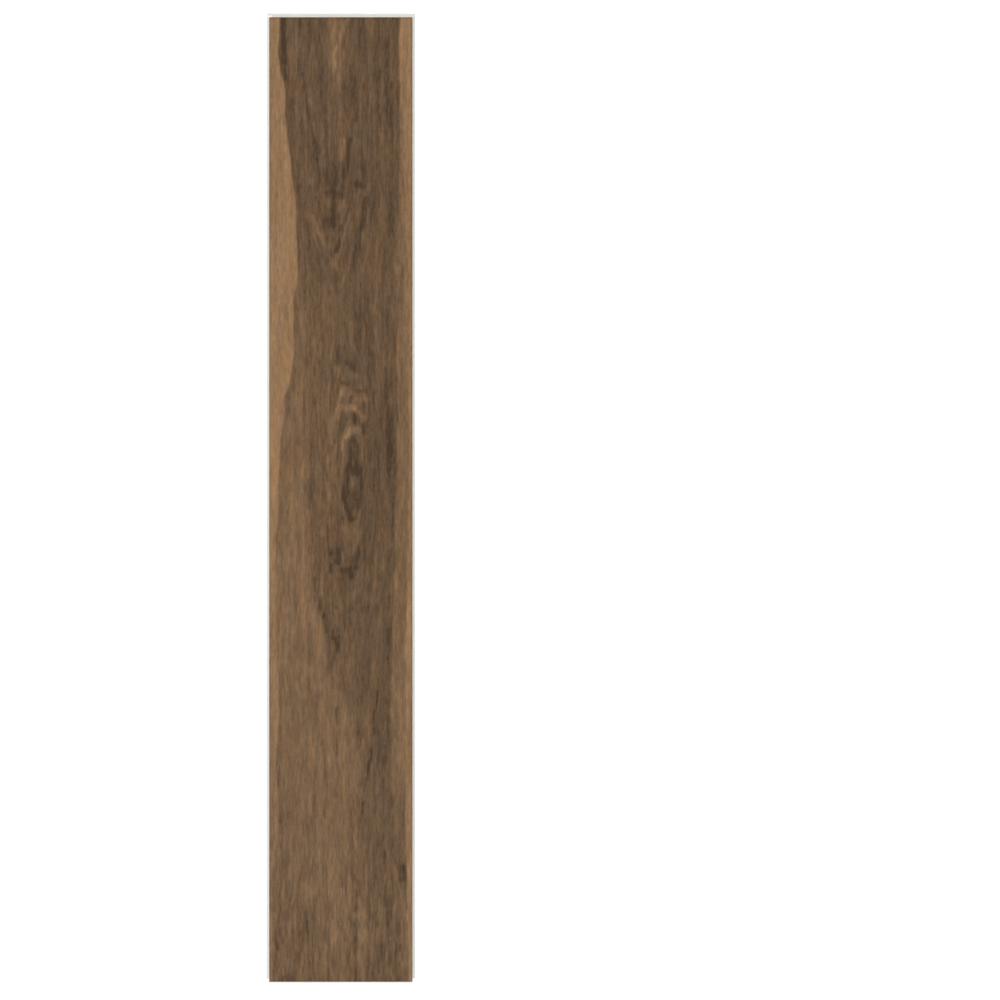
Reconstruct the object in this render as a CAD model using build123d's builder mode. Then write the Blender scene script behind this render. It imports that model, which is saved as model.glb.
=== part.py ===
"""Rigid core vinyl plank, one piece, with a click joint milled on each of its four edges.

The walking face is up (+Z) and the length runs along Y. The origin is on the underside, below
the middle of the walking face, so that neighbouring planks repeat at the face's own width and
length. The long edges carry a tongue (-X) and a groove over a hooked lip (+X): the next plank's
tongue is angled down into the groove. The ends carry a hook (-Y) that drops straight down into
the channel of a catch (+Y). Both joints are milled through, so the solid is what the profile
along the long edges and the profile along the ends have in common.

Each edge is described by corners (out, height, radius). out is measured from the line where the
walking faces of two planks meet, in the direction of the plank that has the tongue or the hook,
so a point of the joint has the same numbers on both planks, apart from the clearance.
"""

import os

from build123d import *

# Plank, in millimetres
face_length = 1220.0
face_width = 181.0
thickness = 5.0
face_bevel = 0.6

# Clearances between two joined planks, in which the walking faces meet edge to edge
slide_gap = 0.05
tip_gap = 0.15
lip_gap = 0.15

# Long edges: the groove under the walking face, and the lip below it with its locking nib
groove_depth = 3.0
upper_wall = 1.5
lower_wall = 1.2
roof_fall = 0.35
floor_rise = 0.85
lip_hollow_start = 0.7
lip_hollow_width = 0.4
lock_run = 0.9
lock_rise = 0.9
nib_width = 0.9
nib_chamfer = 0.3
tongue_round = 0.4
hollow_round = 0.3

# Ends: the catch's channel and nib, and the snap in the face above the channel
channel_floor = 1.25
channel_width = 2.4
channel_lean = 0.1
catch_nib_height = 1.75
catch_nib_width = 1.8
catch_chamfer = 0.3
snap_depth = 0.2
snap_foot = 0.4
snap_height = 1.1
snap_slope = 0.3
channel_round = 0.25

# Both joints
underside_chamfer = 0.25

# Heights and reaches that follow from the sizes above
roof_height = thickness - upper_wall
nib_height = lower_wall + lock_rise
lock_start = lip_hollow_start + lip_hollow_width
nib_start = lock_start + lock_run
lip_length = nib_start + nib_width + nib_chamfer
tongue_length = groove_depth - tip_gap
catch_height = channel_floor + catch_nib_height
catch_nib_start = channel_width - channel_lean
catch_length = channel_width + catch_nib_width + catch_chamfer
snap_bottom = channel_floor + snap_foot
snap_top = snap_bottom + snap_height
groove_back_height = roof_height - roof_fall - lower_wall - floor_rise
tip_radius = min(tongue_round, 0.45 * (groove_back_height - 2 * slide_gap))
back_radius = min(tongue_round, 0.45 * groove_back_height)


def groove_edge():
    """Corners of the grooved long edge, from the walking face down to the underside."""
    return [
        (0, thickness, 0),
        (0, roof_height, 0),
        (-groove_depth, roof_height - roof_fall, back_radius),
        (-groove_depth, lower_wall + floor_rise, back_radius),
        (lip_hollow_start, lower_wall, hollow_round),
        (lock_start, lower_wall, hollow_round),
        (nib_start, nib_height, hollow_round),
        (lip_length - nib_chamfer, nib_height, 0),
        (lip_length, nib_height - nib_chamfer, 0),
        (lip_length, underside_chamfer, 0),
        (lip_length - underside_chamfer, 0, 0),
    ]


def tongue_edge():
    """Corners of the tongued long edge, from the walking face down to the underside."""
    return [
        (0, thickness, 0),
        (0, roof_height - slide_gap, 0),
        (-tongue_length, roof_height - roof_fall - slide_gap, tip_radius),
        (-tongue_length, lower_wall + floor_rise + slide_gap, tip_radius),
        (lip_hollow_start - slide_gap, lower_wall + slide_gap, hollow_round),
        (lock_start - slide_gap, lower_wall + slide_gap, hollow_round),
        (nib_start - slide_gap, nib_height + slide_gap, hollow_round),
        (lip_length + lip_gap, nib_height + slide_gap, hollow_round),
        (lip_length + lip_gap, underside_chamfer, 0),
        (lip_length + lip_gap + underside_chamfer, 0, 0),
    ]


def catch_edge():
    """Corners of the end with the catch, from the walking face down to the underside."""
    return [
        (0, thickness, 0),
        (0, snap_top, 0),
        (-snap_depth, snap_top - snap_slope, 0),
        (-snap_depth, snap_bottom + snap_slope, 0),
        (0, snap_bottom, 0),
        (0, channel_floor, channel_round),
        (channel_width, channel_floor, channel_round),
        (catch_nib_start, catch_height, channel_round),
        (catch_length - catch_chamfer, catch_height, 0),
        (catch_length, catch_height - catch_chamfer, 0),
        (catch_length, underside_chamfer, 0),
        (catch_length - underside_chamfer, 0, 0),
    ]


def hook_edge():
    """Corners of the end with the hook, from the walking face down to the underside."""
    return [
        (0, thickness, 0),
        (0, snap_top - slide_gap, 0),
        (slide_gap - snap_depth, snap_top - snap_slope - slide_gap, 0),
        (slide_gap - snap_depth, snap_bottom + snap_slope + slide_gap, 0),
        (slide_gap, snap_bottom + slide_gap, 0),
        (slide_gap, channel_floor + slide_gap, channel_round),
        (channel_width - slide_gap, channel_floor + slide_gap, channel_round),
        (catch_nib_start - slide_gap, catch_height + slide_gap, channel_round),
        (catch_length + lip_gap, catch_height + slide_gap, channel_round),
        (catch_length + lip_gap, underside_chamfer, 0),
        (catch_length + lip_gap + underside_chamfer, 0, 0),
    ]


def section_corners(low_edge, high_edge, span):
    """Corners of a closed section: high_edge from the top down, then low_edge from the bottom up."""
    high_side = [(out + span / 2, height, radius) for out, height, radius in high_edge]
    low_side = [(out - span / 2, height, radius) for out, height, radius in low_edge]
    return high_side + low_side[::-1]


across = section_corners(tongue_edge(), groove_edge(), face_width)
along = section_corners(hook_edge(), catch_edge(), face_length)

with BuildPart() as plank:
    # The long edges' profile, run past both ends
    with BuildSketch(Plane.XZ):
        with BuildLine():
            FilletPolyline(
                *[(x, height) for x, height, _ in across],
                radius=[radius for _, _, radius in across],
                close=True,
            )
        make_face()
    extrude(amount=face_length / 2 + catch_length, both=True)

    # The ends' profile, run past both long edges, leaves only what both profiles share
    with BuildSketch(Plane.YZ):
        with BuildLine():
            FilletPolyline(
                *[(y, height) for y, height, _ in along],
                radius=[radius for _, _, radius in along],
                close=True,
            )
        make_face()
    extrude(amount=face_width / 2 + lip_length + tongue_length, both=True, mode=Mode.INTERSECT)

    # The tongue and the lip stop short of the hooked end, where the hook's undercut takes their root
    undercut = catch_length + lip_gap
    with Locations((-face_width / 2, -face_length / 2, 0)):
        Box(
            tongue_length,
            2 * undercut,
            roof_height,
            align=(Align.MAX, Align.CENTER, Align.MIN),
            mode=Mode.SUBTRACT,
        )
    with Locations((face_width / 2, -face_length / 2, 0)):
        Box(
            lip_length,
            2 * undercut,
            roof_height,
            align=(Align.MIN, Align.CENTER, Align.MIN),
            mode=Mode.SUBTRACT,
        )

    # Bevel round the walking face
    walking_face = plank.faces().sort_by(Axis.Z)[-1]
    chamfer(walking_face.edges(), face_bevel)

plank.part.label = "plank"

os.makedirs("parts", exist_ok=True)
export_step(plank.part, "parts/plank.step")

size = plank.part.bounding_box().size
print(f"plank: {size.X:.2f} x {size.Y:.2f} x {size.Z:.2f} mm, {plank.part.volume / 1000:.1f} cm3")
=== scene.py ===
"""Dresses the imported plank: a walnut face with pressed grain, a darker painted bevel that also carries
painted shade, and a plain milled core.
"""

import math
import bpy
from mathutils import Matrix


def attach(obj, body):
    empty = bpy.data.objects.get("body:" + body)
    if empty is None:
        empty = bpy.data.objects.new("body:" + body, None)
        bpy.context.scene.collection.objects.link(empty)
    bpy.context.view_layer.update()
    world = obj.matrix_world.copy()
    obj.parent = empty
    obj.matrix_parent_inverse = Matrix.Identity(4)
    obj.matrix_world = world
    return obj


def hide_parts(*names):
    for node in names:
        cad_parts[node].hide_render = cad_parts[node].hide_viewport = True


bl_info = {
    "name": "Rigid Core Vinyl Plank",
    "version": (1, 0, 0),
    "blender": (4, 5, 0),
    "location": "3D View > Sidebar > Plank",
    "description": "Builds a click vinyl plank with a printed walnut face, and a pale floor to show it on",
    "category": "Add Mesh",
}

from functools import reduce

import bmesh
import bpy
import numpy as np
from bpy.props import FloatProperty, FloatVectorProperty, IntProperty, PointerProperty

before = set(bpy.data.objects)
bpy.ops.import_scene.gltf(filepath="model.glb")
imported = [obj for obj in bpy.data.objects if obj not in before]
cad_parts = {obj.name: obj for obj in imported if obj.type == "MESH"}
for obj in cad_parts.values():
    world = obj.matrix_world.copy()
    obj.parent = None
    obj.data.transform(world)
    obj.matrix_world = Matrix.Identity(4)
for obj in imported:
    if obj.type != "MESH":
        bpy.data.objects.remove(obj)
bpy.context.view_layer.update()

MM = 0.001

# Heights and places closer than this are the same on the CAD plank
SAME = 0.001 * MM

# The CAD plank's face: its height, half its size inside the bevel, the bevel's foot, half its size there
cad_corners = np.array([corner.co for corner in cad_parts["plank"].data.vertices])
TOP = cad_corners[:, 2].max()
FACE_X, FACE_Y, _ = cad_corners[cad_corners[:, 2] > TOP - SAME].max(0)
lower_corners = cad_corners[cad_corners[:, 2] < TOP - SAME]
BEVEL_FOOT = lower_corners[:, 2].max()
EDGE_X, EDGE_Y, _ = lower_corners[lower_corners[:, 2] > BEVEL_FOOT - SAME].max(0)

# Its underside, from the lowest x and y to the highest
underside_corners = cad_corners[cad_corners[:, 2] < SAME]
UNDERSIDE = underside_corners.min(0), underside_corners.max(0)

# The photograph is square. These are the plank's edges in its pixels, and a pixel in millimetres
PICTURE_PX = 1000
LEFT_PX, RIGHT_PX = 269.56, 411.97
TOP_PX, BOTTOM_PX = 17.29, 981.74
PX = 2 * EDGE_Y / MM / (BOTTOM_PX - TOP_PX)
MIDDLE_COLUMN = (LEFT_PX + RIGHT_PX) / 2
MIDDLE_ROW = (TOP_PX + BOTTOM_PX) / 2

# The print, drawn over the photograph. Rows and columns are its pixels, and a tone is the mean
# level on the screen, from DARKEST to PALEST. A border is (row, column) pairs and a tone (row, tone)
# pairs down the plank.
DARKEST, PALEST = 60, 130

HEARTWOOD_TONE = [
    (-40, 82), (200, 83), (330, 84), (450, 83), (600, 84), (700, 85), (800, 87), (860, 88), (1040, 89),
]

# The paler wood left of the heartwood
PALER = [
    (0, 250), (300, 262), (340, 280), (380, 293), (410, 300), (440, 304), (480, 307), (530, 309),
    (580, 313), (620, 321), (645, 326), (665, 332), (690, 342), (720, 353), (745, 360), (780, 363),
    (830, 360), (870, 355), (900, 352), (1040, 350),
]
PALER_TONE = [
    (-40, 90), (380, 94), (440, 98), (520, 101), (640, 100), (700, 98), (780, 98), (830, 96), (880, 95),
    (940, 92), (1040, 91),
]

# The sapwood at the left edge
LEFT_SAP = [
    (0, 280.8), (72, 281), (82, 283.8), (117, 286), (160, 290.2), (180, 293), (200, 295.2),
    (240, 296.8), (262, 297.6), (284, 297), (298, 294.4), (312, 293.4), (362, 293), (374, 290.4), (388, 288),
    (396, 284.6), (420, 284), (434, 281.2), (470, 278.8), (520, 277), (560, 275.6), (600, 276.5),
    (640, 277.5), (735, 278), (752, 276.5), (840, 277.6), (862, 273.4), (880, 272.6), (1000, 272.4),
]
LEFT_TONE = [
    (-40, 114), (100, 115), (160, 112), (200, 113), (240, 116), (320, 117), (440, 119), (560, 119),
    (610, 113), (670, 116), (720, 117), (760, 113), (800, 108), (840, 104), (900, 108), (1040, 108),
]

# The wood at the right edge, which turns paler twice
RIGHT_MID = [
    (0, 399.6), (70, 399.6), (120, 400.4), (160, 400), (200, 398.4), (250, 398.4), (280, 397),
    (310, 398), (360, 397), (440, 397), (520, 395), (600, 393.6), (640, 392), (760, 392), (820, 394),
    (860, 399), (1000, 400),
]
RIGHT_MID_TONE = [
    (-40, 113), (70, 113), (120, 108), (160, 105), (200, 97), (280, 98), (440, 97), (540, 98),
    (640, 97), (760, 99), (800, 93), (860, 89), (920, 97), (1040, 95),
]
RIGHT_SAP = [
    (0, 402), (120, 404), (200, 404.5), (280, 407.5), (320, 409), (360, 408), (440, 409.5),
    (520, 408.4), (600, 407), (640, 406.2), (700, 405.6), (840, 405.6), (880, 407), (1000, 408),
]
RIGHT_TONE = [
    (-40, 117), (120, 115), (160, 117), (200, 110), (280, 110), (440, 110), (520, 113), (560, 118),
    (660, 118), (710, 110), (770, 109), (820, 116), (1040, 119),
]

# The growth rings: the column of the tree's middle, how far it lies below the face, and how far the
# rings spread on the face, in rings and millimetres a ring
TREE_MIDDLE = [
    (-60, 336), (60, 334), (170, 333), (267, 333), (320, 338), (380, 349), (430, 352), (500, 352),
    (570, 350), (640, 342), (720, 346), (820, 345), (900, 338), (1040, 336),
]
TREE_DEPTH = [
    (-60, 0.3), (17, 0.5), (120, 1.2), (170, 1.9), (200, 2.7), (240, 4.1), (267, 5.1), (295, 5.8),
    (320, 6.0), (350, 5.6), (380, 4.7), (405, 3.5), (430, 2.2), (455, 0.9), (475, 0.3), (490, 0.8),
    (521, 2.2), (571, 4.2), (620, 5.5), (681, 6.9), (760, 8.1), (870, 9.5), (1040, 11.2),
]
RING_SPREAD = [
    (-60, 6.5), (120, 6.5), (200, 6.2), (320, 6.0), (400, 5.6), (480, 5.4), (571, 5.6), (650, 6.0),
    (1040, 6.2),
]

# Where the rings bend and show as figure: (centre, half size, strength)
FIGURED = [((335, 228), (27, 63), 1.0), ((349, 475), (27, 107), 1.0), ((330, 690), (33, 79), 0.5)]

# Soft light and dark places: (centre, half size, strength), dark below zero. At a strength of 1 a patch
# changes the tone by PATCH_TONE
PATCH_TONE = 13
PATCHES = [
    ((297, 80), (8, 90), 0.35),
    ((298, 40), (7, 18), 0.5),
    ((315, 36), (8, 20), -0.55),
    ((315, 78), (6, 18), -0.5),
    ((335, 42), (11, 42), 0.75),
    ((386, 157), (8, 24), 0.6),
    ((333, 178), (9, 22), -0.5),
    ((286, 180), (6, 40), 0.5),
    ((331, 236), (10, 24), -0.6),
    ((355, 235), (9, 30), -0.3),
    ((376, 250), (7, 36), 0.4),
    ((386, 295), (7, 36), -0.6),
    ((352, 315), (20, 40), -0.15),
    ((318, 325), (6, 24), 0.5),
    ((299, 330), (10, 50), 0.65),
    ((365, 317), (6, 20), -0.4),
    ((395, 357), (6, 26), -0.6),
    ((301, 395), (10, 24), 0.65),
    ((337, 400), (12, 20), 0.5),
    ((350, 397), (20, 22), 0.45),
    ((286, 410), (8, 30), -0.35),
    ((336, 437), (7, 26), 0.45),
    ((315, 440), (9, 26), 0.5),
    ((388, 445), (12, 60), -0.4),
    ((360, 470), (18, 50), -0.3),
    ((331, 475), (9, 50), 0.65),
    ((285, 480), (6, 26), -0.75),
    ((296, 517), (5, 20), 0.45),
    ((286, 557), (6, 22), 0.45),
    ((347, 580), (12, 40), 0.3),
    ((326, 677), (5, 18), -0.45),
    ((350, 676), (9, 20), 0.7),
    ((296, 717), (8, 20), -0.5),
    ((385, 715), (6, 20), 0.5),
    ((357, 815), (8, 30), -0.55),
    ((333, 822), (9, 36), 0.55),
    ((332, 910), (16, 60), 0.35),
    ((364, 915), (16, 50), 0.45),
    ((314, 918), (6, 24), -0.5),
    ((345, 952), (5, 26), 0.5),
    ((364, 957), (5, 20), 0.95),
    ((391, 957), (8, 22), -0.6),
    ((284, 966), (14, 24), -0.3),
]

# Strands with a clear edge: (points, half width in millimetres, strength), dark below zero. At a strength
# of 1 a strand changes the tone by STRAND_TONE. From the top down they make the rings' point, the arches
# under it, the eye, the bowl below that, and a crack
STRAND_TONE = 17
TOP_STRANDS = [
    ([(283.9, 8), (284, 62)], 3.5, -1.9),
    ([(285, 62), (285.4, 79)], 2.0, -0.8),
    ([(299.5, 14), (299.5, 70)], 2.2, -0.45),
    ([(303, 74), (306, 100), (311, 126), (315, 142)], 1.9, -0.75),
    ([(336, 8), (335, 66)], 9.0, 0.4),
    ([(351, 12), (344, 28), (336, 48), (335, 70)], 2.6, 0.7),
    ([(337, 70), (340, 116)], 4.5, 0.35),
    ([(355, 80), (355, 118)], 6.0, -0.5),
    ([(362, 20), (363, 60)], 5.0, -0.4),
    ([(388, 36), (388, 66)], 2.4, -0.6),
    ([(387, 72), (388, 124)], 2.2, -0.65),
    ([(379, 72), (379, 124)], 2.2, -0.5),
    ([(392, 84), (392, 152)], 2.6, -0.65),
]
POINT_STRANDS = [
    ([(315, 142), (316.5, 160)], 2.4, -0.8),
    ([(317, 160), (322, 185)], 1.9, -0.55),
    ([(333, 168), (333, 184)], 9.5, -0.5),
    ([(350, 140), (347.5, 160), (345.5, 172), (343, 183), (341.5, 192)], 3.4, -1.0),
    ([(330, 193), (341, 196)], 5.0, -1.1),
    ([(332.5, 200), (332.5, 211)], 4.2, -0.95),
    ([(332.5, 211), (332.5, 219)], 3.5, -0.5),
    ([(332.5, 220), (332.5, 226)], 4.6, -1.0),
    ([(355, 183), (363, 187)], 4.2, -1.0),
    ([(364, 164), (364, 181)], 3.6, -0.6),
    ([(366, 199), (365, 212), (362.5, 226)], 4.2, -0.8),
    ([(359, 230), (357, 249)], 4.0, -0.8),
    ([(353.5, 252), (353, 266)], 2.2, -1.0),
    ([(351, 272), (350.5, 280)], 1.8, -0.6),
    ([(341, 228), (339, 240), (336.5, 251)], 3.2, -1.15),
    ([(330, 252), (330, 260)], 3.6, -0.6),
    ([(320, 198), (321, 208)], 5.0, -0.35),
    ([(325, 220), (325, 229)], 5.0, -0.35),
    ([(300, 187), (300, 206)], 4.4, -0.5),
    ([(307.5, 222), (308, 250)], 3.4, -0.4),
    ([(343, 140), (342, 160)], 3.4, 0.7),
    ([(284, 128), (287, 160), (290, 205), (293, 255)], 4.5, 0.4),
    ([(310, 167), (310, 182)], 2.2, 0.5),
    ([(346.5, 205), (341.5, 222)], 2.4, 0.75),
    ([(319, 220), (319.5, 233)], 2.0, 0.6),
    ([(335, 264), (337, 270)], 2.4, 0.6),
    ([(317, 206), (324, 240), (333, 268), (344, 238), (350, 214)], 2.1, 0.55),
    ([(311, 214), (320, 256), (331, 288)], 2.1, 0.5),
    ([(358, 232), (349, 262), (341, 288)], 2.1, 0.45),
    ([(313, 215), (318, 230), (324, 246)], 2.2, 0.6),
    ([(391.5, 194), (391.5, 234)], 3.6, -0.5),
    ([(374.5, 266), (374.5, 312)], 4.5, 0.35),
]
ARCH_STRANDS = [
    ([(314, 342), (314, 365)], 2.4, 0.6),
    ([(321, 342), (321, 359)], 2.0, 0.6),
    ([(330.5, 346), (330.5, 359)], 1.8, 0.6),
    ([(339, 348), (338, 363)], 4.4, -0.55),
    ([(347, 362), (354, 368)], 3.0, -0.6),
    ([(338, 366), (338, 376)], 3.6, 0.6),
    ([(351, 374), (358, 376)], 3.2, 0.6),
    ([(342, 383), (348, 384)], 3.0, -0.8),
    ([(344, 387), (343, 394)], 3.0, 0.55),
    ([(356, 391), (365, 391)], 2.8, -0.7),
    ([(356, 400), (370, 400)], 3.6, 0.5),
    ([(351, 397), (351, 402)], 2.2, -0.7),
    ([(336.5, 418), (337, 410), (341, 407.5), (354, 407.5)], 4.2, 1.1),
    ([(355, 410), (360, 414), (365, 419)], 3.4, 0.75),
    ([(343, 416), (344, 428)], 4.0, -0.7),
    ([(355, 415), (355, 423)], 3.8, -1.0),
    ([(362.5, 424), (362.5, 434)], 2.0, -0.9),
    ([(340.5, 420), (340.5, 434)], 2.0, -0.5),
    ([(347, 436), (348, 431), (358, 430)], 4.2, 1.0),
    ([(342, 450), (343, 440), (346, 436)], 2.2, 0.9),
    ([(361, 435), (367, 437)], 2.4, 0.5),
    ([(385, 368), (385, 398)], 2.0, -0.6),
]
EYE_STRANDS = [
    ([(354, 440), (354, 452)], 7.5, -0.4),
    ([(349.5, 450), (349.5, 467)], 3.4, -1.0),
    ([(356.5, 452), (356.5, 469)], 2.4, -0.9),
    ([(350, 471), (357, 470)], 7.6, -1.15),
    ([(347, 478), (345.5, 496)], 3.6, -1.1),
    ([(362, 477), (362, 488)], 2.2, -0.9),
    ([(344.5, 499), (347, 510), (351.5, 520)], 3.4, -1.0),
    ([(357, 500), (357, 509)], 1.8, -0.6),
    ([(352, 485), (352, 501)], 2.6, 0.4),
    ([(330.5, 422), (330.5, 444)], 2.0, 0.7),
    ([(327.5, 449), (327.5, 471)], 2.0, 0.7),
    ([(335, 447), (335.5, 481)], 3.4, 0.55),
    ([(327.5, 482), (327.5, 499)], 2.0, 0.6),
    ([(389, 408), (389, 446)], 3.6, -0.6),
    ([(389.5, 446), (389, 470)], 3.4, -1.2),
    ([(389, 470), (389, 483)], 3.4, -0.5),
    ([(393, 504), (393, 528)], 1.8, -0.7),
    ([(342, 518), (355, 518)], 3.8, -0.5),
    ([(344, 528), (354, 530)], 4.0, 0.45),
]
BOWL_STRANDS = [
    ([(328, 526), (328, 548)], 2.2, -0.5),
    ([(330.5, 548), (330.5, 554)], 3.0, -0.85),
    ([(338, 550), (338, 562)], 3.8, -1.0),
    ([(330.5, 565), (330.5, 573)], 2.0, -1.0),
    ([(341, 570), (348, 570)], 4.0, -0.85),
    ([(352, 568), (352, 576)], 4.4, -1.15),
    ([(355, 558), (356, 567)], 4.0, -0.6),
    ([(359.5, 546), (359, 561)], 3.0, -0.65),
    ([(364, 533), (364, 550)], 2.8, -0.4),
    ([(346.5, 578), (346.5, 588)], 11.0, -0.25),
    ([(353, 551), (353.5, 558)], 2.6, 0.5),
    ([(343, 551), (344, 557)], 2.6, 0.45),
    ([(322.5, 526), (322.5, 536)], 2.0, 0.5),
    ([(315, 578), (315.5, 599)], 2.8, -0.75),
    ([(321, 576), (321, 594)], 3.6, 0.45),
    ([(320, 600), (322.5, 617)], 3.2, -0.8),
    ([(324.5, 616), (326.5, 631)], 3.6, -1.1),
    ([(332.5, 630), (333.5, 639)], 2.0, -0.9),
    ([(338, 638), (338, 651)], 3.8, -1.15),
    ([(330, 654), (330, 667)], 5.0, -0.45),
    ([(333, 678), (333.5, 689)], 2.8, -0.7),
    ([(348, 598), (348, 608)], 1.8, 0.6),
    ([(354, 592), (354, 599)], 1.8, 0.6),
    ([(336, 611), (336.5, 615)], 2.2, 0.7),
    ([(390, 551), (390, 573)], 4.6, -0.5),
    ([(389, 598), (389, 608)], 4.6, -0.55),
    ([(389, 630), (388.5, 657)], 3.4, -0.65),
    ([(388.5, 657), (388.5, 676)], 3.0, -0.35),
    ([(368, 585), (368.5, 606)], 2.0, -0.6),
    ([(364, 609), (376, 609)], 4.0, -0.35),
    ([(367.5, 661), (367.5, 689)], 3.6, -0.45),
    ([(354.5, 677), (355, 687)], 2.8, -0.4),
]
CRACK_STRANDS = [
    ([(378, 691), (377, 702), (375.5, 712)], 2.2, -1.0),
    ([(374.5, 712), (374, 734)], 2.1, -1.0),
    ([(371.5, 748), (371, 761)], 2.0, -0.9),
    ([(368.5, 761), (368, 779)], 1.9, -1.1),
    ([(365.5, 779), (365, 797)], 1.7, -0.6),
    ([(362.5, 803), (362.5, 813)], 1.9, -0.9),
    ([(385, 700), (385, 720)], 3.2, -0.3),
    ([(388, 717), (388, 735)], 2.4, -0.35),
    ([(385, 747), (385, 763)], 3.2, -0.65),
    ([(317, 694), (318.5, 738)], 1.8, -0.4),
    ([(321.5, 734), (321.5, 745)], 1.6, -0.65),
    ([(325, 755), (325.5, 778)], 1.6, -0.45),
    ([(336.5, 709), (337, 724)], 2.0, -0.75),
    ([(337, 745), (337, 756)], 1.8, -0.5),
    ([(331, 785), (334, 795)], 4.0, -0.4),
    ([(357.5, 725), (357.5, 732)], 3.2, -0.4),
    ([(281, 803), (281, 832)], 3.6, -0.55),
    ([(345.5, 774), (345.5, 804)], 3.6, 0.35),
    ([(359.5, 751), (359.5, 763)], 2.0, 0.5),
    ([(362.5, 740), (362.5, 750)], 2.0, 0.45),
    ([(312, 740), (312, 760)], 7.0, 0.3),
    ([(322, 686), (322.5, 708)], 4.4, 0.35),
]
BOTTOM_STRANDS = [
    ([(402, 868), (402, 879)], 5.0, -1.4),
    ([(400, 853), (400, 861)], 7.0, -0.3),
    ([(384.5, 852), (384.5, 863)], 2.2, -0.75),
    ([(386, 889), (386, 905)], 3.8, -0.65),
    ([(387.5, 912), (387.5, 944)], 2.2, -0.75),
    ([(381.5, 936), (381.5, 958)], 2.0, -0.6),
    ([(355.5, 878), (355.5, 891)], 3.4, -0.45),
    ([(355.5, 891), (355.5, 910)], 3.4, -0.75),
    ([(355.5, 920), (356, 984)], 2.8, -0.75),
    ([(341, 876), (341, 885)], 3.6, -0.6),
    ([(328, 899), (328, 907)], 4.8, -0.4),
    ([(307.5, 921), (307.5, 932)], 2.2, -0.7),
    ([(300, 931), (300, 958)], 2.2, -0.6),
    ([(276.5, 941), (276.5, 949)], 2.0, -0.8),
    ([(324.5, 931), (324.5, 939)], 2.0, -0.8),
    ([(345, 930), (345, 940)], 1.8, -0.8),
    ([(396, 943), (396, 952)], 2.2, -0.7),
    ([(350, 878), (350, 916)], 3.0, 0.5),
    ([(284, 978), (290, 978)], 4.0, -0.5),
]

STRANDS = [
    *TOP_STRANDS,
    *POINT_STRANDS,
    *ARCH_STRANDS,
    *EYE_STRANDS,
    *BOWL_STRANDS,
    *CRACK_STRANDS,
    *BOTTOM_STRANDS,
]

# Layers of noise: (width in mm, length in mm, strength). The width is in rings for the lines along them
MIDDLE_SWAY = [(60, 150, 2.5)]
RING_WARP = [(22, 110, 0.35), (7, 30, 0.12)]
BORDER_WARP = [(9, 25, 1.1), (4, 11, 0.7)]
DASH_SWAY = [(30, 80, 2)]
DASHES = [(2.0, 10, 7.5), (4.4, 28, 5.5), (3.4, 110, 4.8), (9, 50, 3.0)]
RING_LINES = [(0.5, 40, 12), (0.32, 16, 9)]
STRAND_BREAKS = [(2.6, 9, 0.55)]
STRAND_SWAY = [(5, 12, 1.2)]
PRESSED_STREAKS = [(1.9, 30, 1.0), (1.7, 9, 0.5)]
PRESSED_RINGS = [(0.9, 9, 1.0)]

# The share of a strand that its breaks leave on average
STRAND_SHARE = 0.95

# How much the dashes fade where the rings show and on the sapwood, and gain from one row to another
FIGURE_FADE = 0.4
SAP_FADE = 0.2
FOOT_GAIN = 0.3
FOOT_ROWS = (816, 911)

# The noise levels between which streaks and growth rings deepen, and the share of the depth that each has
STREAK_LEVELS = (0.25, 1.0)
STREAK_DEPTH = 0.75
RING_LEVELS = (0.2, 0.9)
RING_DEPTH = 0.35

# The lattice that noise repeats on, and where on it the face's centre lies
LATTICE = 512
LATTICE_PLACE = (200.37, 200.71)


# Numbers over the face


def photo_place(x, y):
    """The photograph's column and row over a place in millimetres from the face's centre."""
    return MIDDLE_COLUMN + x / PX, MIDDLE_ROW - y / PX


def noise(x, y, width, length, seed):
    """Random numbers from -1 to 1 on a lattice of width by length, joined by 3t^2 - 2t^3."""
    table = np.random.default_rng(seed).uniform(-1, 1, (LATTICE, LATTICE))
    u, v = x / width + LATTICE_PLACE[0], y / length + LATTICE_PLACE[1]
    i, j = np.floor(u).astype(int), np.floor(v).astype(int)
    a, b = u - i, v - j
    a, b = a * a * (3 - 2 * a), b * b * (3 - 2 * b)
    i, j = i % (LATTICE - 1), j % (LATTICE - 1)
    low = table[i, j] * (1 - a) + table[i + 1, j] * a
    high = table[i, j + 1] * (1 - a) + table[i + 1, j + 1] * a
    return low * (1 - b) + high * b


def layered(x, y, layers, seed):
    """The sum of layers of noise, each with a seed of its own."""
    return sum(
        strength * noise(x, y, width, length, seed + n) for n, (width, length, strength) in enumerate(layers)
    )


def through(t, knots):
    """The cubic that passes through each (t, value) knot at the slope of its neighbours."""
    at, value = np.array(knots, float).T
    slope = np.gradient(value, at)
    i = np.clip(np.searchsorted(at, t) - 1, 0, len(at) - 2)
    step = at[i + 1] - at[i]
    f = np.clip((t - at[i]) / step, 0, 1)
    return (
        value[i] * (1 + 2 * f) * (1 - f) ** 2
        + slope[i] * step * f * (1 - f) ** 2
        + value[i + 1] * f * f * (3 - 2 * f)
        + slope[i + 1] * step * f * f * (f - 1)
    )


def ease(t, low, high):
    """0 up to low and 1 from high on, with 3t^2 - 2t^3 between."""
    f = np.clip((t - low) / (high - low), 0, 1)
    return f * f * (3 - 2 * f)


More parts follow.
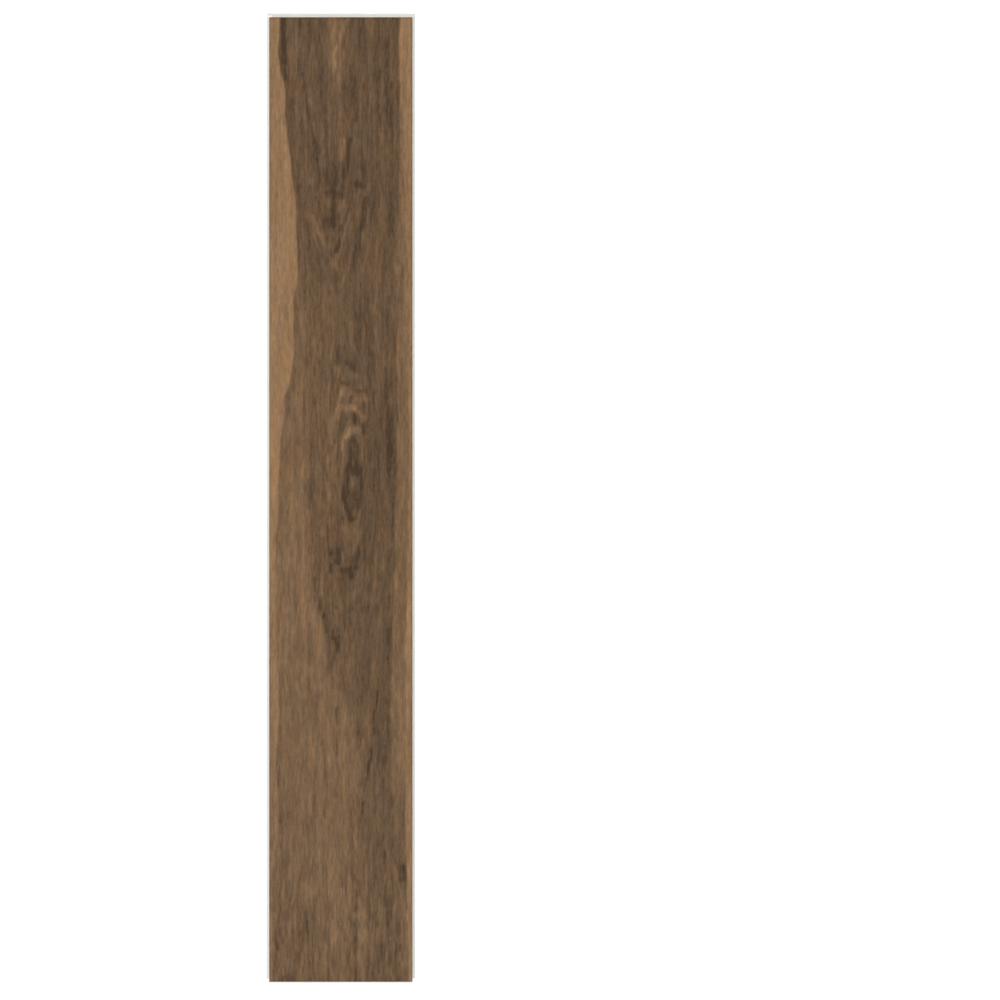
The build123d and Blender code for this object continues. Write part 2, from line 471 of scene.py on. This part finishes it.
def strand(x, y, points, width):
    """exp(-(d / width)^4), where d is the distance to the line through the points."""
    near = np.full(x.shape, np.inf)
    for (ax, ay), (bx, by) in zip(points[:-1], points[1:]):
        dx, dy = bx - ax, by - ay
        f = np.clip(((x - ax) * dx + (y - ay) * dy) / (dx * dx + dy * dy), 0, 1)
        near = np.minimum(near, (x - ax - f * dx) ** 2 + (y - ay - f * dy) ** 2)
    return np.exp(-((near / width**2) ** 2))


def patches(x, y, places):
    """The sum of strength * exp(-(dx / width)^2 - (dy / length)^2) about the centres."""
    return sum(
        strength * np.exp(-(((x - cx) / width) ** 2) - ((y - cy) / length) ** 2)
        for (cx, cy), (width, length), strength in places
    )


# The figure of the print


def ring_number(x, y):
    """Distance from the tree's middle in rings: the root of (x from the middle / spread)^2 + depth^2.

    The middle wanders a little, and the rings are gently warped.
    """
    column, row = photo_place(x, y)
    from_middle = (column - through(row, TREE_MIDDLE)) * PX - layered(x, y, MIDDLE_SWAY, seed=3)
    ring = np.hypot(from_middle / through(row, RING_SPREAD), through(row, TREE_DEPTH))
    return ring + layered(x, y, RING_WARP, seed=4)


def print_tone(x, y, ring):
    """The print's tone, from 0 at DARKEST to 1 at PALEST.

    The heartwood gives way to the paler wood left of it and to the sapwood at both long edges, each
    across its border. Patches, dashes along the grain, lines that follow the rings where these bend,
    and strands with broken, wandering edges are added.
    """
    column, row = photo_place(x, y)
    ragged = layered(x, y, BORDER_WARP, seed=41)
    figured = patches(column, row, FIGURED)

    def right_of(border, sway, soft):
        """0 left of the border and 1 right of it, over soft mm each way; the noise moves it by sway."""
        return ease((column - through(row, border)) * PX + sway * ragged, -soft, soft)

    tone = through(row, HEARTWOOD_TONE)
    tone += (through(row, PALER_TONE) - tone) * (1 - right_of(PALER, sway=-4, soft=9))
    tone += PATCH_TONE * patches(column, row, PATCHES)

    left = 1 - right_of(LEFT_SAP, sway=-0.4, soft=1.1)
    middle = right_of(RIGHT_MID, sway=1, soft=1.8)
    right = right_of(RIGHT_SAP, sway=1, soft=1.8)
    for share, pale_tone in ((left, LEFT_TONE), (middle, RIGHT_MID_TONE), (right, RIGHT_TONE)):
        tone += (through(row, pale_tone) - tone) * share
    pale = np.maximum(left, right)

    dashes = layered(x + layered(x, y, DASH_SWAY, seed=20), y, DASHES, seed=21)
    tone += (1 - FIGURE_FADE * figured - SAP_FADE * pale + FOOT_GAIN * ease(row, *FOOT_ROWS)) * dashes
    tone += figured * (1 - pale) * layered(ring, y, RING_LINES, seed=11)

    broken = STRAND_SHARE + layered(x, y, STRAND_BREAKS, seed=31)
    wandering = column + layered(x, y, STRAND_SWAY, seed=33) / PX
    for points, width, strength in STRANDS:
        tone += STRAND_TONE * strength * broken * strand(wandering, row, points, width / PX)
    return (tone - DARKEST) / (PALEST - DARKEST)


def pressed_depth(x, y, ring):
    """How deep the grain is pressed, from 0 to 1: long thin troughs where streaks of noise pass a level."""
    streaks = ease(layered(x, y, PRESSED_STREAKS, seed=51), *STREAK_LEVELS)
    growth = ease(layered(ring, 0 * ring, PRESSED_RINGS, seed=53), *RING_LEVELS)
    return np.clip(STREAK_DEPTH * streaks + RING_DEPTH * growth, 0, 1)


# Materials


def linear(red, green, blue):
    """A colour written as screen values from 0 to 255, as the linear values that Blender takes."""
    screen = np.array([red, green, blue]) / 255
    return (*np.where(screen <= 0.04045, screen / 12.92, ((screen + 0.055) / 1.055) ** 2.4), 1.0)


# What Blender's noise varies about
NOISE_MEAN = 0.5


class Signal:
    """A shader value in a Python expression: each operator adds its Math node."""

    def __init__(self, nodes, socket):
        self.nodes, self.socket = nodes, socket

    def math(self, operation, first, second):
        """The Math node's result for two values."""
        return self.nodes.value("ShaderNodeMath", {"operation": operation}, {0: first, 1: second})

    def __add__(self, other):
        return self.math("ADD", self, other)

    def __radd__(self, other):
        return self.math("ADD", other, self)

    def __sub__(self, other):
        return self.math("SUBTRACT", self, other)

    def __rsub__(self, other):
        return self.math("SUBTRACT", other, self)

    def __mul__(self, other):
        return self.math("MULTIPLY", self, other)

    def __rmul__(self, other):
        return self.math("MULTIPLY", other, self)

    def __truediv__(self, other):
        return self.math("DIVIDE", self, other)

    def __rtruediv__(self, other):
        return self.math("DIVIDE", other, self)

    def larger(self, other):
        """The larger of the two."""
        return self.math("MAXIMUM", self, other)

    def ease(self, low, high):
        """0 up to low and 1 from high on, smooth between."""
        settings = {"interpolation_type": "SMOOTHSTEP"}
        inputs = {"Value": self, "From Min": low, "From Max": high}
        return self.nodes.value("ShaderNodeMapRange", settings, inputs)


class Nodes:
    """The node tree of a new material or world, made and joined from Python."""

    def __init__(self, owner):
        owner.use_nodes = True
        self.owner, self.tree = owner, owner.node_tree
        self.tree.nodes.clear()

    def node(self, kind, settings=None, inputs=None):
        """A node of this kind: its settings are made first, then its sockets get values or links."""
        node = self.tree.nodes.new(kind)
        for name, value in (settings or {}).items():
            if name == "stops":
                self.set_stops(node.color_ramp, value)
            else:
                setattr(node, name, value)
        for name, value in (inputs or {}).items():
            if isinstance(value, Signal):
                self.tree.links.new(value.socket, node.inputs[name])
            else:
                node.inputs[name].default_value = value
        return node

    def set_stops(self, ramp, stops):
        """The first and last stops take the two that a ramp comes with, and the others are added."""
        first, *inner, last = stops
        for stop, (place, colour) in zip(ramp.elements, (first, last)):
            stop.position, stop.color = place, colour
        for place, colour in inner:
            ramp.elements.new(place).color = colour

    def value(self, kind, settings=None, inputs=None, output=0):
        """The output of a new node, to calculate with."""
        return Signal(self, self.node(kind, settings, inputs).outputs[output])

    def attribute(self, name):
        """The mesh's attribute of this name."""
        return self.value("ShaderNodeAttribute", {"attribute_name": name}, output="Fac")

    def places(self):
        """The x, y and z of the surface on the object, in millimetres."""
        place = self.value("ShaderNodeTexCoord", output="Object")
        split = self.node("ShaderNodeSeparateXYZ", inputs={0: place})
        return [Signal(self, split.outputs[axis]) / MM for axis in "XYZ"]

    def speckle(self, x, y, width, length, detail):
        """Blender's noise, less its mean, with grains of width by length in the units of x and y."""
        place = self.value("ShaderNodeCombineXYZ", inputs={"X": x / width, "Y": y / length})
        settings = {"noise_dimensions": "2D"}
        inputs = {"Vector": place, "Scale": 1, "Detail": detail}
        return self.value("ShaderNodeTexNoise", settings, inputs) - NOISE_MEAN

    def grain(self, x, y, layers):
        """The sum of layers of speckle: (width, length, detail, strength)."""
        return reduce(
            Signal.__add__,
            [self.speckle(x, y, width, length, detail) * by for width, length, detail, by in layers],
        )

    def mix(self, blend, factor, first, second):
        """Two colours blended by the factor."""
        settings = {"data_type": "RGBA", "blend_type": blend}
        return self.value("ShaderNodeMix", settings, {"Factor": factor, 6: first, 7: second}, output=2)

    def bump(self, strength, distance, height):
        """The normals of a surface that rises by distance where the height is 1."""
        inputs = {"Strength": strength, "Distance": distance, "Height": height}
        return self.value("ShaderNodeBump", inputs=inputs)

    def seen_directly(self):
        """1 for what the camera sees, also in a reflection or through glass, and 0 for other light."""
        path = self.node("ShaderNodeLightPath")
        rays = [Signal(self, path.outputs[f"Is {kind} Ray"]) for kind in ("Camera", "Glossy", "Transmission")]
        return reduce(Signal.larger, rays)

    def surface(self, **inputs):
        """The material, with a Principled surface whose sockets are named with _ for a space."""
        names = {name.replace("_", " "): value for name, value in inputs.items()}
        surface = self.value("ShaderNodeBsdfPrincipled", inputs=names)
        self.node("ShaderNodeOutputMaterial", inputs={"Surface": surface})
        return self.owner


# Red, green and blue of the walnut against its mean level, at the darkest tone and at the palest
DARKEST_BROWN = (1.25, 0.99, 0.76)
PALEST_BROWN = (1.27, 1.0, 0.73)

# What the floor's light and the wear layer's reflection make of a colour: they lower it and add a veil
LIGHT_LEVEL, VEIL = 0.974, 0.015

# How many browns the ramp takes from the darkest to the palest
BROWNS = 11

# Two tints that the browns vary between
COOLER = (0.965, 1.0, 1.075, 1.0)
WARMER = (1.03, 1.0, 0.925, 1.0)

# The share of the warmer tint at the darkest tone, and what it gains up to the palest tone, towards the
# right edge over a stretch of x, and towards the foot over a stretch of -y, both in mm
WARMTH = 0.355
PALEST_WARMTH = 0.25
RIGHT_WARMTH = 0.17
RIGHT_STRETCH = (60, 88)
FOOT_WARMTH = -0.36
FOOT_STRETCH = (0, 500)

# Noise over the walnut: (width in mm, length in mm, detail, strength). The growth lines' width is in rings
GROWTH_LINES = [(0.55, 160, 2, 0.15)]
FIBRE = [(0.9, 22, 3, 0.2), (0.45, 8, 2, 0.14)]
FLECKS = [(1.5, 4.5, 2, 0.2)]
WARM_DRIFT = [(14, 70, 3, 2.2), (3, 14, 2, 1.3)]
FINE_RELIEF = [(0.6, 12, 3, 1)]

# Dashes and pores: their noise (width, length, detail), the levels over which they come up in it, and what
# they do to the tone
DASH_NOISE = (2.6, 13, 2)
DASH_LEVELS = (-0.06, 0.06)
DASH_TONE = 0.07
PORE_NOISE = (0.5, 7, 1)
PORE_LEVELS = (0.12, 0.24)
PORE_TONE = -0.1

# What pores and fibre add to the roughness and pores to the relief, and its bump (strength, distance)
PORE_ROUGHNESS = 0.12
FIBRE_ROUGHNESS = 0.3
PORE_RELIEF = -0.8
WALNUT_BUMP = (0.35, 0.1 * MM)

# The cut core's specks (size in x, y and z in mm) and milling lines (width, length, detail), and how far
# each moves its colour from the middle between the dark and the light one
SPECK_SIZE = (0.21, 1.36, 0.0056)
SPECK_DETAIL = 3
SPECK_COLOUR = 0.5
MILLING_LINES = (90, 0.25, 2)
MILLING_COLOUR = 0.6
MIDDLE_COLOUR = 0.5
CORE_ROUGHNESS = 0.75
CORE_BUMP = (0.3, 0.05 * MM)


def brown(tone):
    """The walnut's colour at a tone from 0 to 1, such that it shows at that tone's level on the screen."""
    level = DARKEST + tone * (PALEST - DARKEST)
    shares = [dark + tone * (pale - dark) for dark, pale in zip(DARKEST_BROWN, PALEST_BROWN)]
    seen = linear(*(level * share for share in shares))
    return (*((channel - VEIL) / LIGHT_LEVEL for channel in seen[:3]), 1.0)


def walnut_print(name, look, shade):
    """The printed walnut under its matt wear layer, darkened by shade: on the bevel, its darker paint
    together with painted shade of its slope.

    The mesh's tone gets fibres, flecks, dashes and pores along the grain and lines along the rings.
    Browns from cool to warm come in long soft patches. They are cooler towards the foot and warmer at
    the right edge.
    """
    nodes = Nodes(bpy.data.materials.new(name))
    x, y, _ = nodes.places()
    tone = nodes.attribute("tone")
    growth = nodes.grain(nodes.attribute("ring"), y, GROWTH_LINES)
    fibre = nodes.grain(x, y, FIBRE)
    flecks = nodes.grain(x, y, FLECKS)
    dashes = (nodes.speckle(x, y, *DASH_NOISE).ease(*DASH_LEVELS) - 0.5) * DASH_TONE
    pores = nodes.speckle(x, y, *PORE_NOISE).ease(*PORE_LEVELS)
    shown = (tone + growth + fibre + flecks + dashes + pores * PORE_TONE) * shade
    stops = [(stop, brown(stop)) for stop in np.linspace(0, 1, BROWNS)]
    walnut = nodes.value("ShaderNodeValToRGB", {"stops": stops}, {"Fac": shown})

    warmth = nodes.grain(x, y, WARM_DRIFT) + tone * PALEST_WARMTH + WARMTH
    warmth = warmth + x.ease(*RIGHT_STRETCH) * RIGHT_WARMTH + (y * -1).ease(*FOOT_STRETCH) * FOOT_WARMTH
    tint = nodes.mix("MIX", warmth, COOLER, WARMER)
    relief = nodes.grain(x, y, FINE_RELIEF) + pores * PORE_RELIEF
    return nodes.surface(
        Base_Color=nodes.mix("MULTIPLY", 1.0, walnut, tint),
        Roughness=look.roughness + pores * PORE_ROUGHNESS + fibre * FIBRE_ROUGHNESS,
        Specular_IOR_Level=look.sheen,
        Normal=nodes.bump(*WALNUT_BUMP, relief),
    )


def milled_core(name, look):
    """The limestone filled core where it is cut: pale and dull, with fine specks and milling lines."""
    nodes = Nodes(bpy.data.materials.new(name))
    x, y, z = nodes.places()
    across, along, up = SPECK_SIZE
    place = nodes.value("ShaderNodeCombineXYZ", inputs={"X": x / across, "Y": y / along, "Z": z / up})
    inputs = {"Vector": place, "Scale": 1, "Detail": SPECK_DETAIL}
    specks = nodes.value("ShaderNodeTexNoise", inputs=inputs) - NOISE_MEAN
    lines = nodes.speckle(x + y, z, *MILLING_LINES)
    lightness = specks * SPECK_COLOUR + lines * MILLING_COLOUR + MIDDLE_COLOUR
    return nodes.surface(
        Base_Color=nodes.mix("MIX", lightness, look.core_dark, look.core_light),
        Roughness=CORE_ROUGHNESS,
        Normal=nodes.bump(*CORE_BUMP, specks + lines),
    )


# Settings


class PlankSizes(bpy.types.PropertyGroup):
    columns: IntProperty(name="Columns", description="Quads across the pressed face", default=208, min=8)
    rows: IntProperty(name="Rows", description="Quads along the pressed face", default=448, min=8)
    pressed: FloatProperty(
        name="Pressed depth",
        description="Depth of the deepest grain pressed into the face",
        default=0.12 * MM,
        min=0,
        unit="LENGTH",
        precision=6,
    )
    rim: FloatProperty(
        name="Flat rim",
        description="Width along the bevel over which the pressed grain runs out",
        default=1.2 * MM,
        min=0.1 * MM,
        unit="LENGTH",
        precision=6,
    )
    # The band along the face's rim, beside the bevel, that painted shade darkens
    lap: FloatProperty(
        name="Paint lap",
        description="Width along the bevel over which its darker paint fades out on the face",
        default=1.5 * MM,
        min=0.1 * MM,
        unit="LENGTH",
        precision=6,
    )


class PlankLook(bpy.types.PropertyGroup):
    roughness: FloatProperty(
        name="Roughness", description="Roughness of the wear layer", default=0.55, min=0, max=1
    )
    sheen: FloatProperty(
        name="Specular", description="Strength of the wear layer's reflection", default=0.12, min=0, max=1
    )
    # The bevel's darker paint, which also paints the shade of its slope
    bevel_paint_and_shade: FloatProperty(
        name="Bevel shade", description="Tone of the bevel against the face", default=0.7, min=0, max=1
    )
    # How much painted shade darkens the face's rim beside the bevel
    rim_painted_shade: FloatProperty(
        name="Lap shade", description="Tone that the paint takes from the face's rim", default=0.11, min=0
    )
    core_light: FloatVectorProperty(
        name="Core, light",
        description="Lighter grains of the core",
        subtype="COLOR",
        size=4,
        default=linear(238, 236, 230),
    )
    core_dark: FloatVectorProperty(
        name="Core, dark",
        description="Darker grains of the core",
        subtype="COLOR",
        size=4,
        default=linear(222, 219, 212),
    )


class StageSettings(bpy.types.PropertyGroup):
    sky: FloatProperty(name="Sky", description="Light from all round", default=0.47, min=0)
    lamp: FloatProperty(
        name="Lamp", description="Power of the soft lamp overhead", default=188.0, min=0, subtype="POWER"
    )
    view_width: FloatProperty(
        name="View width",
        description="Width of floor that the picture takes in",
        default=PICTURE_PX * PX * MM,
        min=MM,
        unit="LENGTH",
    )


# The plank

FACE_SLOT, BEVEL_SLOT, CORE_SLOT = range(3)

# How far below the bevel the CAD body is cut, and the angle from which an edge is sharp
CUT_BELOW = 0.1 * MM
SHARP_ANGLE = math.radians(30)


def lower_body(cut):
    """The CAD plank below the height cut: its corner points and faces, and the points of the open rim."""
    mesh = bmesh.new()
    mesh.from_mesh(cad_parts["plank"].data)
    bmesh.ops.remove_doubles(mesh, verts=mesh.verts, dist=SAME)
    bmesh.ops.bisect_plane(
        mesh,
        geom=mesh.verts[:] + mesh.edges[:] + mesh.faces[:],
        dist=SAME / 10,
        plane_co=(0, 0, cut),
        plane_no=(0, 0, 1),
        clear_outer=True,
    )
    mesh.verts.index_update()
    points = np.array([v.co for v in mesh.verts])
    faces = [[v.index for v in face.verts] for face in mesh.faces]
    rim = [v.index for v in mesh.verts if any(edge.is_boundary for edge in v.link_edges)]
    mesh.free()
    return points, faces, np.array(rim)


def pressed_face(sizes, look):
    """The walking face on an even grid: its points, ring numbers and tones.

    z is the CAD face's height less the pressed depth, which runs out towards the bevel, where
    painted shade darkens the tone.
    """
    x, y = np.meshgrid(
        np.linspace(-FACE_X, FACE_X, sizes.columns + 1),
        np.linspace(-FACE_Y, FACE_Y, sizes.rows + 1),
    )
    ring = ring_number(x / MM, y / MM)
    inside = np.minimum(FACE_X - abs(x), FACE_Y - abs(y))
    depth = sizes.pressed * pressed_depth(x / MM, y / MM, ring) * ease(inside, 0, sizes.rim)
    # Painted shade: the tone darkens towards the rim, over the band beside the bevel
    tone = print_tone(x / MM, y / MM, ring) - look.rim_painted_shade * (1 - ease(inside, 0, sizes.lap))
    return np.stack([x, y, TOP - depth], -1), ring, tone


def upright_sides(body, rim, foot, columns, rows):
    """The four flat faces between the cut body's rim and the points of the bevel's foot, one a side."""
    ends = np.cumsum([0, columns, rows, columns, rows])
    sides = ((1, -EDGE_Y, 1), (0, EDGE_X, 1), (1, EDGE_Y, -1), (0, -EDGE_X, -1))
    for start, stop, (axis, level, sign) in zip(ends[:-1], ends[1:], sides):
        lower = rim[abs(body[rim, axis] - level) < SAME]
        lower = lower[np.argsort(body[lower, 1 - axis] * sign)]
        upper = foot.take(np.arange(start, stop + 1), mode="wrap")
        yield [*lower, *upper[::-1]]


def build_plank(sizes, look):
    """One closed mesh: the CAD body up to the bevel, the bevel in quads and the pressed face."""
    body, body_faces, rim = lower_body(BEVEL_FOOT - CUT_BELOW)
    face, ring, tone = pressed_face(sizes, look)
    number = np.arange(ring.size).reshape(ring.shape) + len(body)
    quads = np.stack([number[:-1, :-1], number[:-1, 1:], number[1:, 1:], number[1:, :-1]], -1)

    # Once round the face, counter-clockwise from above, and the same points at the bevel's foot
    loop = np.concatenate([number[0, :-1], number[:-1, -1], number[-1, :0:-1], number[:0:-1, 0]])
    grid = face.reshape(-1, 3)
    foot_points = grid[loop - len(body)] * (EDGE_X / FACE_X, EDGE_Y / FACE_Y, 0) + (0, 0, BEVEL_FOOT)
    foot = np.arange(len(loop)) + len(body) + len(grid)
    bevel = np.stack([foot, np.roll(foot, -1), np.roll(loop, -1), loop], -1)

    sides = list(upright_sides(body, rim, foot, sizes.columns, sizes.rows))
    parts = (
        (body_faces, CORE_SLOT),
        (quads.reshape(-1, 4).tolist(), FACE_SLOT),
        (bevel.tolist(), BEVEL_SLOT),
        (sides, CORE_SLOT),
    )
    mesh = bpy.data.meshes.new("vinyl_plank")
    mesh.from_pydata(
        np.concatenate([body, grid, foot_points]), [], [corners for faces, _ in parts for corners in faces]
    )
    if mesh.validate(verbose=True):
        raise RuntimeError("the plank's faces don't fit together")
    slots = np.concatenate([np.full(len(faces), slot) for faces, slot in parts])
    mesh.polygons.foreach_set("material_index", slots)
    mesh.polygons.foreach_set("use_smooth", np.ones(len(slots), bool))
    mesh.set_sharp_from_angle(angle=SHARP_ANGLE)

    # The bevel shows the print of the rim above it
    for name, values in (("ring", ring.ravel()), ("tone", tone.ravel())):
        values = np.concatenate([np.zeros(len(body)), values, values[loop - len(body)]])
        mesh.attributes.new(name, "FLOAT", "POINT").data.foreach_set("value", values.astype(np.float32))

    mesh.materials.append(walnut_print("walnut_face", look, 1.0))
    # The bevel takes a darker copy of the walnut: its darker paint and painted shade
    mesh.materials.append(walnut_print("walnut_bevel", look, look.bevel_paint_and_shade))
    mesh.materials.append(milled_core("milled_core", look))
    return mesh


def check_closed(mesh):
    """Stops the script if the mesh is open or inside out."""
    checked = bmesh.new()
    checked.from_mesh(mesh)
    open_edges = sum(not edge.is_manifold for edge in checked.edges)
    volume = checked.calc_volume(signed=True)
    checked.free()
    if open_edges or volume <= 0:
        raise RuntimeError(f"{mesh.name} isn't closed: {open_edges} open edges, volume {volume}")


class MESH_OT_vinyl_plank(bpy.types.Operator):
    """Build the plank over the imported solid"""

    bl_idname = "mesh.vinyl_plank"
    bl_label = "Vinyl Plank"

    def execute(self, context):
        mesh = build_plank(context.scene.plank_sizes, context.scene.plank_look)
        check_closed(mesh)
        plank = bpy.data.objects.new("vinyl_plank", mesh)
        context.scene.collection.objects.link(plank)
        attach(plank, "root")
        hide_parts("plank")
        return {"FINISHED"}


# The stage

# Half the floor's side, how far the plank laps over the floor's opening, the floor's paint, the distances
# in mm between which the lamp's light dies away, and the floor's own glow at both
FLOOR_HALF = 30.0
FLOOR_LAP = 1 * MM
FLOOR_PAINT = (0.8, 0.8, 0.8, 1)
LIT_NEAR, LIT_FAR = 1000, 6000
GLOW_NEAR = (0.32, 0.32, 0.32, 1)
GLOW_FAR = (0.63, 0.63, 0.63, 1)

# The lamp and the camera, in metres
LAMP_SIZE = 3.0
LAMP_PLACE = (-0.7, 0.5, 6.0)
CAMERA_HEIGHT = 2.0


def open_floor():
    """A square floor that is open under the plank, so that from below the underside can be seen.

    Four quads join the square's corners to those of the underside's rectangle, less the lap all round.
    """
    (low_x, low_y, _), (high_x, high_y, _) = UNDERSIDE[0] + FLOOR_LAP, UNDERSIDE[1] - FLOOR_LAP
    outer = FLOOR_HALF * np.array([(-1, -1, 0), (1, -1, 0), (1, 1, 0), (-1, 1, 0)])
    inner = [(low_x, low_y, 0), (high_x, low_y, 0), (high_x, high_y, 0), (low_x, high_y, 0)]
    side = np.arange(4)
    after = np.roll(side, -1)
    mesh = bpy.data.meshes.new("floor")
    mesh.from_pydata(np.concatenate([outer, inner]), [], np.stack([side, after, after + 4, side + 4], -1))
    mesh.materials.append(white_floor())
    return mesh


def white_floor():
    """A pale floor that the camera sees as white, apart from the plank's shadow.

    Its own glow, for the camera alone, makes up for the lamp's light, which falls away from the plank.
    """
    nodes = Nodes(bpy.data.materials.new("pale_floor"))
    x, y, _ = nodes.places()
    away = (x * x + y * y).ease(LIT_NEAR**2, LIT_FAR**2)
    paint = nodes.value("ShaderNodeBsdfDiffuse", inputs={"Color": FLOOR_PAINT})
    colour = nodes.mix("MIX", away, GLOW_NEAR, GLOW_FAR)
    glow = nodes.value("ShaderNodeEmission", inputs={"Color": colour, "Strength": nodes.seen_directly()})
    both = nodes.value("ShaderNodeAddShader", inputs={0: paint, 1: glow})
    nodes.node("ShaderNodeOutputMaterial", inputs={"Surface": both})
    return nodes.owner


def white_sky(sky):
    """Even light from all round, which the camera and reflections see as white."""
    nodes = Nodes(bpy.data.worlds.new("studio"))
    strength = nodes.seen_directly() * (1 - sky) + sky
    light = nodes.value("ShaderNodeBackground", inputs={"Color": (1, 1, 1, 1), "Strength": strength})
    nodes.node("ShaderNodeOutputWorld", inputs={"Surface": light})
    return nodes.owner


class SCENE_OT_plank_stage(bpy.types.Operator):
    """Lay a pale floor, hang the soft lamp and set the camera straight above"""

    bl_idname = "scene.plank_stage"
    bl_label = "Floor, Light and Camera"

    def execute(self, context):
        scene, stage = context.scene, context.scene.plank_stage
        floor = bpy.data.objects.new("floor", open_floor())
        scene.collection.objects.link(floor)
        scene.world = white_sky(stage.sky)

        light = bpy.data.lights.new("soft_lamp", "AREA")
        light.shape = "DISK"
        light.size = LAMP_SIZE
        light.energy = stage.lamp
        lamp = bpy.data.objects.new("soft_lamp", light)
        lamp.location = LAMP_PLACE
        lamp.rotation_euler = (-lamp.location).to_track_quat("-Z", "Y").to_euler()
        scene.collection.objects.link(lamp)

        # Straight above the photograph's middle pixel
        view = bpy.data.cameras.new("camera")
        view.type = "ORTHO"
        view.ortho_scale = stage.view_width
        camera = bpy.data.objects.new("camera", view)
        camera.location.x = (PICTURE_PX / 2 - MIDDLE_COLUMN) * PX * MM
        camera.location.y = (MIDDLE_ROW - PICTURE_PX / 2) * PX * MM
        camera.location.z = CAMERA_HEIGHT
        scene.collection.objects.link(camera)
        scene.camera = camera
        scene.view_settings.view_transform = "Standard"
        return {"FINISHED"}


class VIEW3D_PT_vinyl_plank(bpy.types.Panel):
    """The plank's settings"""

    bl_label = "Vinyl Plank"
    bl_space_type = "VIEW_3D"
    bl_region_type = "UI"
    bl_category = "Plank"

    def draw(self, context):
        for name in ("plank_sizes", "plank_look", "plank_stage"):
            settings = getattr(context.scene, name)
            box = self.layout.box()
            for prop in settings.bl_rna.properties:
                if prop.identifier not in ("name", "rna_type"):
                    box.prop(settings, prop.identifier)
        self.layout.operator("scene.plank_stage")
        self.layout.operator("mesh.vinyl_plank")


SETTINGS = {"plank_sizes": PlankSizes, "plank_look": PlankLook, "plank_stage": StageSettings}
CLASSES = (*SETTINGS.values(), MESH_OT_vinyl_plank, SCENE_OT_plank_stage, VIEW3D_PT_vinyl_plank)


def register():
    for cls in CLASSES:
        bpy.utils.register_class(cls)
    for name, group in SETTINGS.items():
        setattr(bpy.types.Scene, name, PointerProperty(type=group))


def unregister():
    for name in SETTINGS:
        delattr(bpy.types.Scene, name)
    for cls in reversed(CLASSES):
        bpy.utils.unregister_class(cls)


def main():
    register()
    bpy.ops.scene.plank_stage()
    bpy.ops.mesh.vinyl_plank()


if __name__ == "__main__":
    main()
